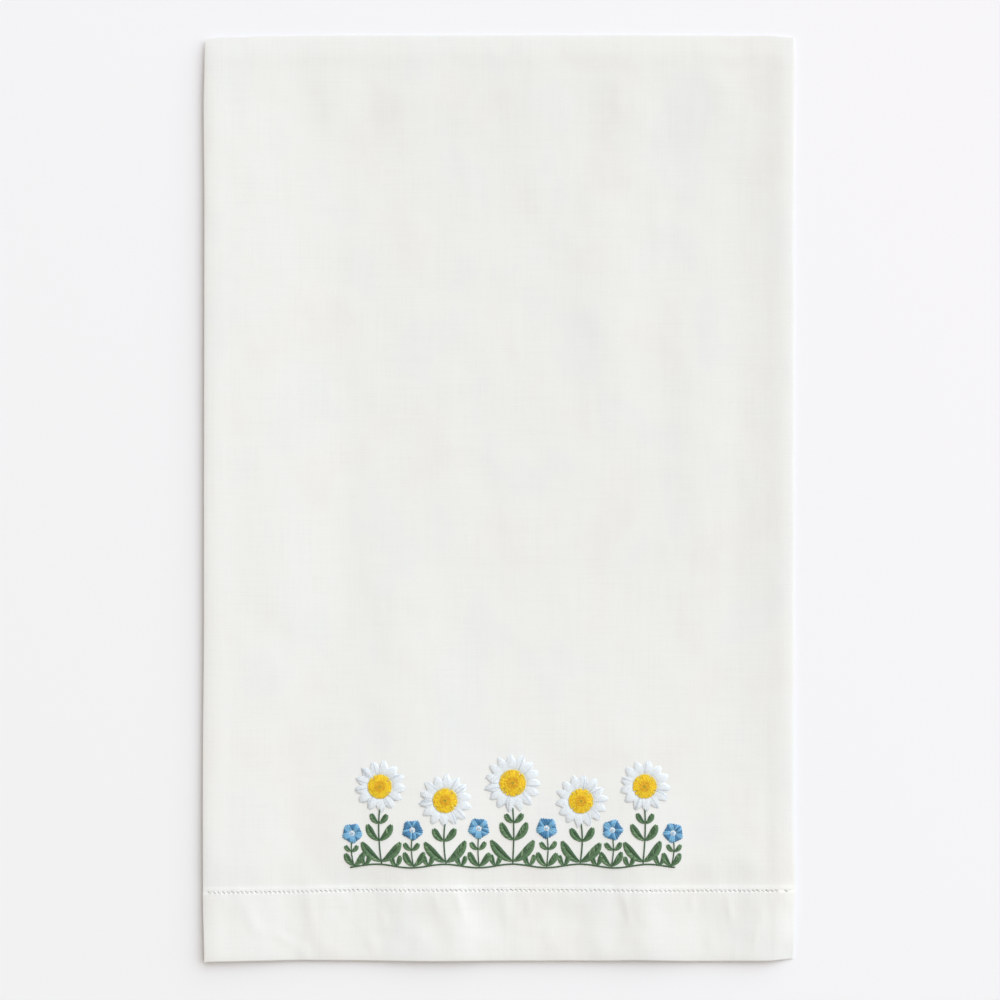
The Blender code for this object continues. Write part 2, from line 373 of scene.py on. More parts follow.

# %% [markdown]
# ## Folds and creases
#
# Low folds run down from the top hem, the deep hem is puckered by its stitching, and four long swells
# run up the body. Each is listed: its middle, its length and width, its lean and its height.
# The small creases are only on the finer sheet. They are narrow ridges where the iron missed a pucker,
# and a negative height is a trough. A simulation would give folds too, but not these folds.

# %% Tables of folds
Fold = namedtuple("Fold", "across up long wide lean high")


def folds(*rows):
    """Folds from rows in millimetres, with the lean in degrees."""
    return [Fold(*(value * MM for value in row[:4]), row[4], row[5] * MM) for row in rows]


# across, up, long, wide, lean, high
TOP_FOLDS = folds(
    (-98, 520, 96, 46, 4, 0.5),
    (-52, 524, 90, 50, -5, 0.5),
    (22, 508, 125, 68, 6, 0.6),
    (79, 514, 115, 52, -4, 0.7),
    (134, 516, 84, 40, 2, 0.4),
)
HEM_PUCKERS = folds(
    (-109, 24, 72, 42, 0, 1.1),
    (-60, 29, 40, 28, 8, 0.5),
    (-26, 25, 72, 32, 14, 0.8),
    (60, 24, 54, 28, -6, 0.5),
    (88, 23, 72, 34, 6, 0.9),
    (168, 22, 104, 62, 0, 1.1),
    (183, -6, 44, 48, 0, -2.2),
)
LONG_SWELLS = folds(
    (-126, 242, 250, 70, -3, 0.6),
    (-56, 190, 230, 74, 4, 0.6),
    (66, 395, 250, 66, 2, 0.7),
    (124, 330, 300, 60, -2, 0.6),
)
SMALL_CREASES = folds(
    (77, 31, 34, 7, 14, 0.30),
    (139, 31, 26, 6, 10, 0.28),
    (155, 15, 16, 6, -12, 0.20),
    (-114, 33, 40, 13, 0, 0.34),
    (-118, 4, 18, 12, 0, 0.32),
    (-129, 13, 28, 8, 58, 0.28),
    (-181, 18, 74, 24, 0, -0.42),
    (-70, 26, 20, 8, 12, 0.22),
    (-24, 33, 30, 8, 20, 0.28),
    (46, 36, 12, 5, 6, 0.18),
    (4, 27, 26, 9, 0, 0.15),
    (143, 4, 12, 5, 0, 0.16),
    (-150, 27, 30, 12, 20, 0.24),
    (-92, 31, 22, 10, -8, 0.22),
    (-78, 12, 18, 11, 30, 0.22),
    (-48, 15, 22, 14, -20, 0.26),
    (-38, 36, 14, 7, 8, 0.22),
    (-8, 12, 16, 12, -30, 0.20),
    (18, 33, 16, 8, -6, 0.22),
    (30, 15, 18, 12, 24, 0.22),
    (62, 7, 14, 18, 60, 0.22),
    (104, 16, 26, 13, -14, 0.22),
    (116, 34, 16, 8, 12, 0.22),
    (128, 12, 20, 11, 10, 0.22),
    (158, 26, 22, 9, -14, 0.16),
    (-118, 52, 16, 16, 20, 0.22),
    (-62, 50, 12, 12, -10, 0.16),
    (-14, 51, 12, 14, 0, 0.16),
    (40, 51, 12, 12, 10, 0.16),
    (86, 52, 14, 14, -12, 0.16),
    (128, 54, 24, 18, 40, 0.24),
    (152, 58, 22, 16, 30, 0.20),
    (-103, 512, 44, 14, 8, 0.11),
    (-60, 520, 34, 12, 0, 0.09),
    (18, 524, 40, 14, -10, 0.12),
    (72, 522, 42, 15, 12, 0.12),
    (118, 512, 50, 14, -6, 0.10),
    (150, 500, 60, 14, 0, 0.09),
    (-20, 476, 60, 18, 4, 0.14),
    (96, 440, 90, 16, 2, 0.12),
    (-90, 420, 80, 18, -4, 0.10),
    (-132, 196, 50, 20, 6, -0.12),
    (-30, 330, 90, 18, 0, 0.10),
    (122, 250, 80, 16, -3, 0.10),
)


def height_of(fold, across, up):
    """How much one fold raises the cloth at each place."""
    lean = math.radians(fold.lean)
    dx, dy = across - fold.across, up - fold.up
    sideways = dx * math.cos(lean) + dy * math.sin(lean)
    along = dy * math.cos(lean) - dx * math.sin(lean)
    return fold.high * swell(sideways / (fold.wide / 2)) * swell(along / (fold.long / 2))


print(len(TOP_FOLDS + HEM_PUCKERS + LONG_SWELLS), "folds and", len(SMALL_CREASES), "small creases")

# %% [markdown]
# ## How thick the cloth is
#
# A hem is the cloth turned over twice, so it is thicker, and its turned edge is round. The section
# across the hemstitching goes from the hem, down into a groove where threads were drawn out, and over
# a low ridge. Modelling the turned layers one by one would only add faces that nobody sees.

# %% Thickness
CLOTH_THICK = 0.0010
SIDE_HEM_WIDTH, SIDE_HEM_THICK = 0.0066, 0.00125
TOP_HEM_WIDTH, TOP_HEM_THICK = 0.0085, 0.00125
DEEP_HEM_WIDTH, DEEP_HEM_THICK = 0.0428, 0.0013
HEM_EASE = 0.0120
SIDE_ROUND, TOP_ROUND, FOOT_ROUND = 0.0070, 0.0080, 0.0007
RIM_SHARE = 0.20
SHARED_BY_HEMS = 0.4               # what a side hem loses of its thickness where it is in the deep hem
HEMSTITCH_SECTION = [
    Station(-0.0120, DEEP_HEM_THICK),
    Station(-0.0014, 0.00140),
    Station(-0.0004, 0.00108),
    Station(0.0004, 0.00104),
    Station(0.0011, 0.00114),
    Station(0.0016, 0.00114),
    Station(0.0032, CLOTH_THICK),
]


def hem_step(distance, width):
    """1 inside a hem of this width, falling to 0 just past it."""
    return swell(np.maximum(0.0, distance - width) / HEM_EASE)


def thickness(across, up):
    """One layer of cloth, thicker in the hems and thin in the groove of the hemstitching."""
    from_side = WIDTH / 2 - np.abs(across)
    side = (SIDE_HEM_THICK - CLOTH_THICK) * hem_step(from_side, SIDE_HEM_WIDTH)
    top = (TOP_HEM_THICK - CLOTH_THICK) * hem_step(LENGTH - up, TOP_HEM_WIDTH)
    foot = read(HEMSTITCH_SECTION, up - DEEP_HEM_WIDTH) - CLOTH_THICK
    in_both = np.clip(foot / (DEEP_HEM_THICK - CLOTH_THICK), 0, 1)
    return CLOTH_THICK + foot + np.hypot(side, top) * (1 - SHARED_BY_HEMS * in_both)


def rim(across, up):
    """The share of the thickness that is left near each rounded edge."""
    shares = [
        (WIDTH / 2 - np.abs(across)) / SIDE_ROUND,
        (LENGTH - up) / TOP_ROUND,
        up / FOOT_ROUND,
    ]
    round_off = [np.sqrt(1 - (1 - np.clip(share, 0, 1)) ** 2) for share in shares]
    return np.maximum(RIM_SHARE, round_off[0] * round_off[1] * round_off[2])


print("hem", round(float(thickness(np.array(0.0), np.array(0.02))) / MM, 2), "mm thick")

# %% [markdown]
# ## How high it stands
#
# The underside touches the surface over most of the towel. It rises towards each edge by what the
# tables say, and the rises of two edges join at a corner without adding up, because they are the sides
# of a right angle. The folds come on top.

# %% Lift
def lift(across, up):
    """How high the underside stands off the surface."""
    from_left = across + WIDTH / 2
    sides = [
        read(LEFT_LIFT, up / LENGTH) * swell(from_left / LEFT_LIFT_REACH),
        read(RIGHT_LIFT, up / LENGTH) * swell((WIDTH - from_left) / RIGHT_LIFT_REACH),
        read(TOP_LIFT, from_left / WIDTH) * swell((LENGTH - up) / TOP_LIFT_REACH),
        read(FOOT_LIFT, from_left / WIDTH) * swell(up / FOOT_LIFT_REACH),
    ]
    edges = np.sqrt(sum(side ** 2 for side in sides))
    edges += read(FOOT_CURL, from_left / WIDTH) * swell(up / FOOT_CURL_REACH)
    rise = read(HEM_RISE, up) * read(HEM_RISE_SHARE, across)
    rest = sum(height_of(fold, across, up) for fold in TOP_FOLDS + HEM_PUCKERS + LONG_SWELLS)
    return np.maximum(0.0, edges + rise + rest)


print("middle of the foot lifted", round(float(lift(np.array(0.0), np.array(0.0))) / MM, 2), "mm")

# %% [markdown]
# ## Where a point lies
#
# The sheet starts as a plain rectangle, and each of its points is moved so that the edges and the
# hemstitching wander as the tables say. What lies between two of these lines moves in proportion, so
# the rows and columns stay smooth.

# %% Place
def place(across, up):
    """Where a point of the plain rectangle lies once its edges wander."""
    share_across, share_up = across / WIDTH + 0.5, up / LENGTH
    left = -WIDTH / 2 - read(LEFT_OUT, share_up)
    right = WIDTH / 2 + read(RIGHT_OUT, share_up)
    foot = -LENGTH / 2 - read(FOOT_OUT, share_across)
    top = LENGTH / 2 + read(TOP_OUT, share_across)
    line = -LENGTH / 2 + DEEP_HEM_WIDTH + read(HEM_LINE_UP, share_across)
    below = foot + (line - foot) * up / DEEP_HEM_WIDTH
    above = line + (top - line) * (up - DEEP_HEM_WIDTH) / (LENGTH - DEEP_HEM_WIDTH)
    return left + (right - left) * share_across, np.where(up <= DEEP_HEM_WIDTH, below, above)


print("left end of the foot", [round(float(part), 4) for part in place(-WIDTH / 2, 0.0)])

# %% [markdown]
# ## The grid
#
# The cloth is one closed mesh of rows and columns. The columns follow the hemstitching, so that each
# hole is one cell of the grid. Far from the hems the rows are wider apart, because only the weave is
# finer there, and that is left to the material. The holes differ a little in width and place, and a
# few are closed, as hand sewing leaves them.

# %% Grid lines
STITCH_PITCH = 0.0028
HOLE_WIDE, HOLE_HIGH = 0.00064, 0.00046
HOLE_JITTER = 0.1 * MM
HOLE_LEAST, HOLE_MOST = 0.6, 1.25  # shares of the usual width
HOLES_CLOSED = 0.03
EDGE_LINES = [0, 0.00015, 0.00045, 0.0009, 0.0016, 0.0026]
FIRST_HOLE = 0.0034                # from the left edge, and the last starts as far from the right
FOOT_SOFT_WIDTH = 0.0042
HEM_LINES = [-0.0030, -0.0020, -0.0014, -0.0009, -0.0006, -HOLE_HIGH / 2, HOLE_HIGH / 2,
             0.0007, 0.0011, 0.0016, 0.0021, 0.0027, 0.0034, 0.0050]
HEM_ROWS_END = DEEP_HEM_WIDTH - 0.004
BODY_ROWS_END = 0.46
HEM_ROW, BODY_ROW, FOLDS_ROW, TOP_HEM_ROW = 0.0030, 0.0045, 0.0035, 0.0016
chance = random.Random(14)


def steps(start, end, size):
    """Evenly spaced places from just after the start up to the end."""
    count = max(1, round((end - start) / size))
    return [start + (end - start) * (i + 1) / count for i in range(count)]


def grid_columns():
    """The columns' distances from the left edge, and which of them have a hole on their right."""
    count = round((WIDTH - 2 * FIRST_HOLE) / STITCH_PITCH)
    pitch = (WIDTH - 2 * FIRST_HOLE) / count
    lines, holes = list(EDGE_LINES), []
    for i in range(count + 1):
        start = FIRST_HOLE + i * pitch + chance.uniform(-HOLE_JITTER, HOLE_JITTER) - HOLE_WIDE / 2
        if chance.random() > HOLES_CLOSED:
            holes.append(len(lines))
        lines += [start, start + HOLE_WIDE * chance.uniform(HOLE_LEAST, HOLE_MOST)]
    lines += [WIDTH - line for line in reversed(EDGE_LINES)]
    return np.array(lines), holes


def grid_rows():
    """The rows' distances from the foot."""
    lines = [*EDGE_LINES, FOOT_SOFT_WIDTH]
    lines += steps(lines[-1], HEM_ROWS_END, HEM_ROW)
    lines += [DEEP_HEM_WIDTH + line for line in HEM_LINES]
    lines += steps(lines[-1], BODY_ROWS_END, BODY_ROW)
    lines += steps(lines[-1], LENGTH - TOP_HEM_WIDTH - HEM_EASE, FOLDS_ROW)
    lines += steps(lines[-1], LENGTH - EDGE_LINES[-1], TOP_HEM_ROW)
    return np.array(lines + [LENGTH - line for line in reversed(EDGE_LINES[:-1])])


COLUMNS, HOLE_COLUMNS = grid_columns()
ROWS = grid_rows()
HOLE_ROW = int(np.argmin(np.abs(ROWS - (DEEP_HEM_WIDTH - HOLE_HIGH / 2))))
print(len(COLUMNS), "columns,", len(ROWS), "rows and", len(HOLE_COLUMNS), "hemstitch holes")

# %% [markdown]
# ## Fine unevenness
#
# Pressed linen is never quite smooth: it has lumps a few centimetres across, finer ones between them,
# and close puckers by the sewing. Noise gives these, because none of them is seen as a fold of its own.
# The foot's edge and the top hem are also a little softer than the solid's. All of this is on the
# upper skin alone.

# %% Unevenness
Lumps = namedtuple("Lumps", "size high seed")
CRUMPLE = Lumps(0.024, 0.00019, 3.7)
RUMPLE = Lumps(0.010, 0.00007, 9.2)
PUCKER = Lumps(0.0055, 0.00016, 5.1)
PUCKER_STRETCH = 0.4
PUCKER_MIDDLE, PUCKER_REACH = DEEP_HEM_WIDTH - 0.002, 0.015
ROUGHEST_UP, ROUGH_REACH, ROUGH_MORE = 0.028, 0.045, 1.2
FOOT_SOFT = 0.00018
TOP_SOFT_WIDTH, TOP_SOFT = 0.0170, 0.00032


def unevenness(lumps, across, up):
    """Soft heights both ways, with lumps of about the size given."""
    size, seed = lumps.size, lumps.seed
    heights = [noise.noise(Vector((x / size, y / size, seed))) for x, y in zip(across.flat, up.flat)]
    return lumps.high * np.array(heights).reshape(across.shape)


def creasing(across, up):
    """What the upper skin has beyond the solid's folds."""
    crease = sum(height_of(fold, across, up) for fold in SMALL_CREASES)
    rougher = 1 + ROUGH_MORE * swell((up - ROUGHEST_UP) / ROUGH_REACH)
    crease += rougher * (unevenness(CRUMPLE, across, up) + unevenness(RUMPLE, across, up))
    by_stitches = swell((up - PUCKER_MIDDLE) / PUCKER_REACH)
    crease += by_stitches * unevenness(PUCKER, across, up * PUCKER_STRETCH)
    crease -= FOOT_SOFT * swell(up / FOOT_SOFT_WIDTH)
    crease -= TOP_SOFT * swell((LENGTH - up) / TOP_SOFT_WIDTH)
    return crease


print("lumps", [round(lumps.high / MM, 2) for lumps in (CRUMPLE, RUMPLE, PUCKER)], "mm high")

# %% [markdown]
# ## Two skins
#
# The sheet has an upper skin and an underside, half a thickness to either side of its middle. A single
# skin would be lighter, but it would have no edge to catch the light and no body to export. At last
# the whole is moved so that its box has the solid's middle and it rests on the surface.

# %% Points of the two skins
HOLE_SHAKE = 0.12 * MM


def skin_points():
    """The upper skin's points and the underside's, row by row."""
    across, up = np.meshgrid(COLUMNS - WIDTH / 2, ROWS)
    x, y = place(across, up)
    shake = np.random.default_rng(5).uniform(-HOLE_SHAKE, HOLE_SHAKE, x.shape)
    for row in (HOLE_ROW, HOLE_ROW + 1):
        y[row] += shake[row]
    half = thickness(across, up) / 2
    left = rim(across, up)
    middle = lift(across, up) + half
    upper = middle + (half + creasing(across, up)) * left
    lower = middle - half * left
    return [np.stack([x, y, skin], axis=-1).reshape(-1, 3) for skin in (upper, lower)]


def centred(points):
    """The points moved so that their box has the solid's middle, on the surface."""
    low, high = points.min(axis=0), points.max(axis=0)
    shift = np.array(TOWEL_MIDDLE) - (low + high) / 2
    shift[2] = -low[2]
    return points + shift


SHEET_POINTS = centred(np.concatenate(skin_points()))
print("sheet box", (SHEET_POINTS.max(axis=0) - SHEET_POINTS.min(axis=0)).round(4).tolist())

# %% [markdown]
# ## Faces of the sheet
#
# Each skin is a grid of quads, and the underside's are turned over so that they face down. A hole is
# one cell left out of both skins and walled round, so it goes right through, a millimetre wide. The
# same kind of wall joins the skins round the rim and closes the mesh. Cutting the holes with a boolean
# would take longer and leave ragged faces.

# %% Faces
NUMBERS = np.arange(len(ROWS) * len(COLUMNS)).reshape(len(ROWS), len(COLUMNS))
CORNERS = [NUMBERS[:-1, :-1], NUMBERS[:-1, 1:], NUMBERS[1:, 1:], NUMBERS[1:, :-1]]


def cells(keep):
    """The upper skin's quads, of those cells of the grid that are kept."""
    return np.stack([corner[keep] for corner in CORNERS], axis=1)


def sheet_faces():
    """Quads of both skins, with the holes left out, and the walls round the holes and the rim."""
    keep = np.ones(CORNERS[0].shape, bool)
    keep[HOLE_ROW, HOLE_COLUMNS] = False
    upper = cells(keep)
    under = upper[:, ::-1] + NUMBERS.size
    loop = [*NUMBERS[0], *NUMBERS[1:, -1], *NUMBERS[-1, -2::-1], *NUMBERS[-2:0:-1, 0]]
    walls = [(b, a) for a, b in zip(loop, loop[1:] + loop[:1])]
    for column in HOLE_COLUMNS:
        hole = [corner[HOLE_ROW, column] for corner in CORNERS]
        walls += list(zip(hole, hole[1:] + hole[:1]))
    sides = [(a, b, b + NUMBERS.size, a + NUMBERS.size) for a, b in np.array(walls).tolist()]
    return upper.tolist() + under.tolist() + sides


SHEET_FACES = sheet_faces()
print(len(SHEET_FACES), "faces in the sheet")

# %% [markdown]
# ## Linen
#
# Linen yarn is spun unevenly: it has slubs, thick places a few millimetres long, and some yarns are
# paler than others, which shows as faint streaks both ways. The weave itself has about 18 yarns to
# the centimetre. Its height is worked out: each yarn is an arch across its width, and it rises over
# one crossing yarn and dips under the next. A tiled picture would repeat, and a sum never does.

# %% Linen material
YARN_PITCH = 0.00056
YARN_WANDER, WANDER_GRAINS = 0.00022, (90, 90)
WEAVE_DEPTH = 0.00009
PATCH_GRAINS = (22, 16)            # grains to the metre, across and up
WARP_STREAKS, WEFT_STREAKS = (900, 24), (24, 1100)
WARP_SLUBS, WEFT_SLUBS = (1900, 150), (130, 1900)
STREAK_SHARE, SLUB_SHARE = 0.35, 0.55
LINEN_ROUGH, SLUB_SMOOTHER = 0.84, 0.12
LINEN = (0.870, 0.875, 0.852, 1.0)
LINEN_WARM = (0.866, 0.854, 0.822, 1.0)
LINEN_COOL = (0.852, 0.872, 0.862, 1.0)
LINEN_SLUB = (0.945, 0.948, 0.932, 1.0)
LINEN_FINE = (0.800, 0.800, 0.778, 1.0)


def weave_height(finish, where):
    """The height of a plain weave, from 0 in the gaps to 1 on top of a yarn."""
    wander = finish.grain(where, *WANDER_GRAINS) * (YARN_WANDER * 2)
    x, y = (finish.axis(where, number) + wander for number in (0, 1))
    warp, weft = x * (math.pi / YARN_PITCH), y * (math.pi / YARN_PITCH)
    warp_rise = (weft + (x / YARN_PITCH).floor() * math.pi).sine() * 0.5 + 0.5
    weft_rise = 0.5 - (warp + (y / YARN_PITCH).floor() * math.pi).sine() * 0.5
    return (warp.sine().size() * warp_rise).highest(weft.sine().size() * weft_rise)


def slubs(finish, where, grains):
    """1 on the few thick places of the yarns that run one way."""
    return finish.grain(where, *grains, detail=1.0).between(0.70, 0.78)


def make_linen():
    finish = Finish("linen", LINEN_ROUGH, sheen=0.12)
    where = finish.place()
    patches = finish.grain(where, *PATCH_GRAINS, detail=3.0)
    warm = patches.between(0.54, 0.70)
    cool = (1 - patches).between(0.54, 0.70)
    streaks = finish.grain(where, *WARP_STREAKS) * 0.5 + finish.grain(where, *WEFT_STREAKS) * 0.5
    fine = streaks.between(0.50, 0.66)
    thick = slubs(finish, where, WEFT_SLUBS).highest(slubs(finish, where, WARP_SLUBS))
    colour = finish.blend(warm, LINEN, LINEN_WARM)
    colour = finish.blend(cool, colour, LINEN_COOL)
    colour = finish.blend(fine * STREAK_SHARE, colour, LINEN_FINE)
    finish.paint(finish.blend(thick * SLUB_SHARE, colour, LINEN_SLUB))
    finish.set(finish.shader.inputs["Roughness"], thick * -SLUB_SMOOTHER + LINEN_ROUGH)
    height = weave_height(finish, where) * 0.6 + streaks * 0.25 + thick * 0.35
    finish.relief(height, WEAVE_DEPTH)
    return finish


linen = make_linen()
print("weave of", round(0.01 / YARN_PITCH), "yarns to the centimetre")

# %% [markdown]
# ## The cloth
#
# `add_piece` turns points and faces into a piece of the towel. It is shaded smooth but for edges that
# are sharper than a given angle, such as those of the holes, so the mesh can stay coarse where the
# cloth is plain. The cloth takes the solid's place, and every piece rides on the towel's one body.

# %% Make the cloth
def add_piece(name, points, faces, finish, smooth_under=60):
    """A piece of the towel from points and faces, shaded smooth but for sharp edges."""
    mesh = bpy.data.meshes.new(name)
    mesh.from_pydata([tuple(point) for point in points], [], faces)
    mesh.validate()
    mesh.shade_smooth()
    mesh.set_sharp_from_angle(angle=math.radians(smooth_under))
    mesh.materials.append(finish.material)
    piece = bpy.data.objects.new(name, mesh)
    bpy.context.scene.collection.objects.link(piece)
    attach(piece, "root")
    return piece


cloth = add_piece("linen_sheet", SHEET_POINTS, SHEET_FACES, linen)
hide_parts("towel")
print("cloth has", len(cloth.data.polygons), "faces")

# %% [markdown]
# ## Thread
#
# Everything sewn is thread that dips into the cloth at both ends. A `Skein` gathers all the stitches
# of one colour as closed tubes, and makes them one mesh. Each tube is a little flattened, as a stitch
# pulled tight is, and carries a map of metres along the thread and turns round it, for its twist.
# Curve objects would do for a few stitches, but there are thousands here.

# %% Skein
ROUND = np.linspace(0, 2 * math.pi, 6, endpoint=False)
TAPER = 0.75                       # the share of its width that a thread has near its two points


class Skein:
    """Stitches of one colour."""

    def __init__(self, name, finish):
        self.name = name
        self.finish = finish
        self.points = []
        self.faces = []
        self.map = []

    def lay(self, path, wide, high):
        """Adds a thread along a path, with its ends drawn to points."""
        path = np.asarray(path, float)
        run = np.gradient(path, axis=0)
        run /= np.linalg.norm(run, axis=1, keepdims=True)
        side = np.cross(run, (0, 0, 1))
        side /= np.linalg.norm(side, axis=1, keepdims=True)
        above = np.cross(side, run)
        metres = np.concatenate([[0], np.cumsum(np.linalg.norm(np.diff(path, axis=0), axis=1))])
        first, rings = len(self.points), len(path) - 2
        self.points.append(path[0])
        for i in range(1, rings + 1):
            taper = TAPER if i in (1, rings) and rings > 2 else 1.0
            ring = path[i] + np.outer(np.cos(ROUND), side[i]) * wide / 2 * taper
            ring += np.outer(np.sin(ROUND), above[i]) * high / 2 * taper
            self.points.extend(ring)
        self.points.append(path[-1])
        self.add_faces(first, rings, metres)

    def add_faces(self, first, rings, metres):
        """The tube's faces between its rings, and the fans at its two points."""
        sides = len(ROUND)
        last = first + 1 + rings * sides
        for k in range(sides):
            a, b = first + 1 + k, first + 1 + (k + 1) % sides
            turn, next_turn = k / sides, (k + 1) / sides
            self.faces.append((first, b, a))
            self.map += [(metres[0], turn), (metres[1], next_turn), (metres[1], turn)]
            for i in range(rings - 1):
                low, high = a + i * sides, b + i * sides
                self.faces.append((low, high, high + sides, low + sides))
                near, far = metres[i + 1], metres[i + 2]
                self.map += [(near, turn), (near, next_turn), (far, next_turn), (far, turn)]
            low, high = a + (rings - 1) * sides, b + (rings - 1) * sides
            self.faces.append((low, high, last))
            self.map += [(metres[-2], turn), (metres[-2], next_turn), (metres[-1], turn)]

    def make(self):
        """One piece of all the stitches."""
        piece = add_piece(self.name, self.points, self.faces, self.finish, smooth_under=75)
        layer = piece.data.uv_layers.new(name="thread")
        layer.uv.foreach_set("vector", np.array(self.map, np.float32).ravel())
        print(self.name, len(self.faces), "faces")
        return piece


print("a thread has", len(ROUND), "sides")

# %% [markdown]
# ## Thread finishes
#
# Cotton embroidery thread is mercerised, which gives it a soft shine, and its strands are twisted, so
# fine slanting lines run round it. The lines are a wave over the thread's own map: a bump, and a
# painted shade in the grooves between the strands. Each colour is a little darker in some stitches, as
# a dyed skein is. Linen sewing thread is matt and the cloth's colour.

# %% Thread materials
TWIST_LENGTH = 0.0011
TWIST_DEPTH = 0.00006
# painted shade: the darker colour is painted into the grooves between the twisted strands
TWIST_PAINTED_SHADE = 0.22                 # how much of the darker colour lies between the strands
DYE_GRAINS = (700, 700)
Dye = namedtuple("Dye", "name pale dark")
DYES = [
    Dye("white", (236, 242, 245), (224, 230, 236)),
    Dye("pearl", (214, 221, 227), (198, 206, 215)),
    Dye("yellow", (255, 226, 44), (250, 208, 28)),
    Dye("gold", (249, 202, 26), (228, 170, 22)),
    Dye("olive", (190, 180, 50), (146, 148, 48)),
    Dye("sky", (132, 187, 219), (105, 162, 201)),
    Dye("deep_blue", (77, 134, 176), (54, 110, 152)),
    Dye("ice", (198, 224, 244), (164, 200, 230)),
    Dye("dark_green", (74, 107, 74), (55, 86, 56)),
    Dye("mid_green", (100, 134, 95), (75, 108, 74)),
    Dye("light_green", (140, 167, 128), (110, 142, 102)),
]


def make_thread(name, colour, shade, slot="thread", roughness=0.5, sheen=0.25):
    """A thread's finish, from its colour and that of its darker stitches, also painted as shade in its
    twist.
    """
    finish = Finish(name, roughness, sheen)
    finish.slot = slot
    along = finish.node("ShaderNodeUVMap", {"uv_map": "thread"})
    metres, turns = (finish.axis(along, number) for number in (0, 1))
    twist = ((metres / TWIST_LENGTH + turns) * (2 * math.pi)).sine() * 0.5 + 0.5
    dyed = finish.grain(finish.place(), *DYE_GRAINS).between(0.40, 0.66)
    colour = finish.blend(dyed, colour, shade)
    # painted shade: the grooves of the twist are painted darker
    finish.paint(finish.blend((1 - twist) * TWIST_PAINTED_SHADE, colour, shade))
    finish.relief(twist, TWIST_DEPTH)
    return finish


THREADS = {dye.name: make_thread(dye.name + "_thread", linear(*dye.pale), linear(*dye.dark))
           for dye in DYES}
SEWING = make_thread("sewing_thread", LINEN, LINEN_FINE, "linen", roughness=0.75, sheen=0.1)
print(len(THREADS), "embroidery threads and one to sew the hem")

# %% [markdown]
# ## Asking the cloth how high it is
#
# A stitch lies on cloth that isn't flat, so each of its points asks the sheet for the height below it.
# A bounding tree answers that with a ray straight down, thousands of times in a blink. The tree is
# made of the upper skin with no holes in it, or a ray could fall through one.

# %% Heights and stitches
every_cell = cells(np.ones(CORNERS[0].shape, bool)).tolist()
tree = BVHTree.FromPolygons([tuple(point) for point in SHEET_POINTS[:NUMBERS.size]], every_cell)
ABOVE_ALL = 0.05
SINK = 0.4 * MM                    # how far a thread's ends go into the cloth
THREAD_STANDS = 0.42               # the share of its height by which its middle stands on the cloth


def cloth_height(x, y):
    hit = tree.ray_cast(Vector((x, y, ABOVE_ALL)), Vector((0, 0, -1)))[0]
    return hit.z if hit else 0.0


def on_cloth(points, rise, pad=0.0):
    """A path over the cloth: into it at both ends, and raised between them."""
    share = np.linspace(-1, 1, len(points))
    raised = (rise + SINK) * (1 - share ** 4) - SINK + pad * (1 - share ** 2)
    return [(x, y, cloth_height(x, y) + up) for (x, y), up in zip(points, raised)]


def stitch(skein, start, end, wide, high, pad=0.0, count=6):
    """A straight stitch from one place to another."""
    skein.lay(on_cloth(np.linspace(start, end, count), high * THREAD_STANDS, pad), wide, high)


def slip(most=0.5):
    """How far a hand is off, either way."""
    return chance.uniform(-most, most)


print("the middle of the cloth is", round(cloth_height(0, 0) / MM, 2), "mm high")

# %% [markdown]
# ## Hemstitching
#
# Where the threads were drawn out, the ones that still cross the gap are bound in bundles, one between
# each two holes. The sewing thread goes round a bundle and then takes a small slanting bite of the
# hem. Each bundle here is three threads that draw together at their foot, one loop and one bite.

# %% Sew the hem
BUNDLE_FOOT, BUNDLE_TOP = 0.30 * MM, 0.72 * MM      # how far its outer threads are from its middle
BUNDLE_BELOW, BUNDLE_ABOVE = 1.05 * MM, 0.75 * MM   # how far it reaches from the line of holes
LOOP_SIDE, LOOP_BELOW = 0.62 * MM, 0.60 * MM
BITE_SIDE, BITE_BELOW = STITCH_PITCH * 0.38, 1.20 * MM
BUNDLE_PAD, LOOP_PAD = 0.25 * MM, 0.55 * MM


def bundle_places():
    """The middles of the bars of cloth between the holes, as the sheet has them."""
    line = (SHEET_POINTS[NUMBERS[HOLE_ROW]] + SHEET_POINTS[NUMBERS[HOLE_ROW + 1]]) / 2
    return [(line[a + 1, :2] + line[a + 2, :2]) / 2 for a in HOLE_COLUMNS[:-1]]


def sew_hem():
    skein = Skein("hemstitching", SEWING)
    for x, y in bundle_places():
        y += slip(0.08) * MM
        for side in (-1, 0, 1):
            foot = (x + side * BUNDLE_FOOT, y - BUNDLE_BELOW)
            top = (x + side * BUNDLE_TOP, y + BUNDLE_ABOVE)
            stitch(skein, foot, top, 0.34 * MM, 0.30 * MM, BUNDLE_PAD)
        low = y - LOOP_BELOW - slip(0.08) * MM
        stitch(skein, (x - LOOP_SIDE, low), (x + LOOP_SIDE, low), 0.30 * MM, 0.30 * MM, LOOP_PAD)
        bite = (x + BITE_SIDE, y - BITE_BELOW - slip(0.2) * MM)
        stitch(skein, (x + LOOP_SIDE * 0.6, low), bite, 0.18 * MM, 0.14 * MM)
    return skein.make()


hemstitching = sew_hem()

# %% [markdown]
# ## A petal
#
# Each petal is a fan of long straight stitches side by side, shorter at the petal's sides so that its
# tip is round, and padded in the middle. A few stitches are pearl grey, which draws the petals apart.
# A flat shape with a bump would be quicker, but it wouldn't catch the light thread by thread.

# %% Petals
PETAL_ROUND, PETAL_ROUND_POWER = 0.34, 2.2     # how much shorter its side stitches are
PETAL_PAD, PETAL_PAD_DROP, PETAL_RISE = 0.45 * MM, 0.28 * MM, 0.16 * MM
PETAL_THREAD_HIGH = 0.4 * MM
PETAL_OVERLAP = 2.5
PEARL_SHARE = 0.10


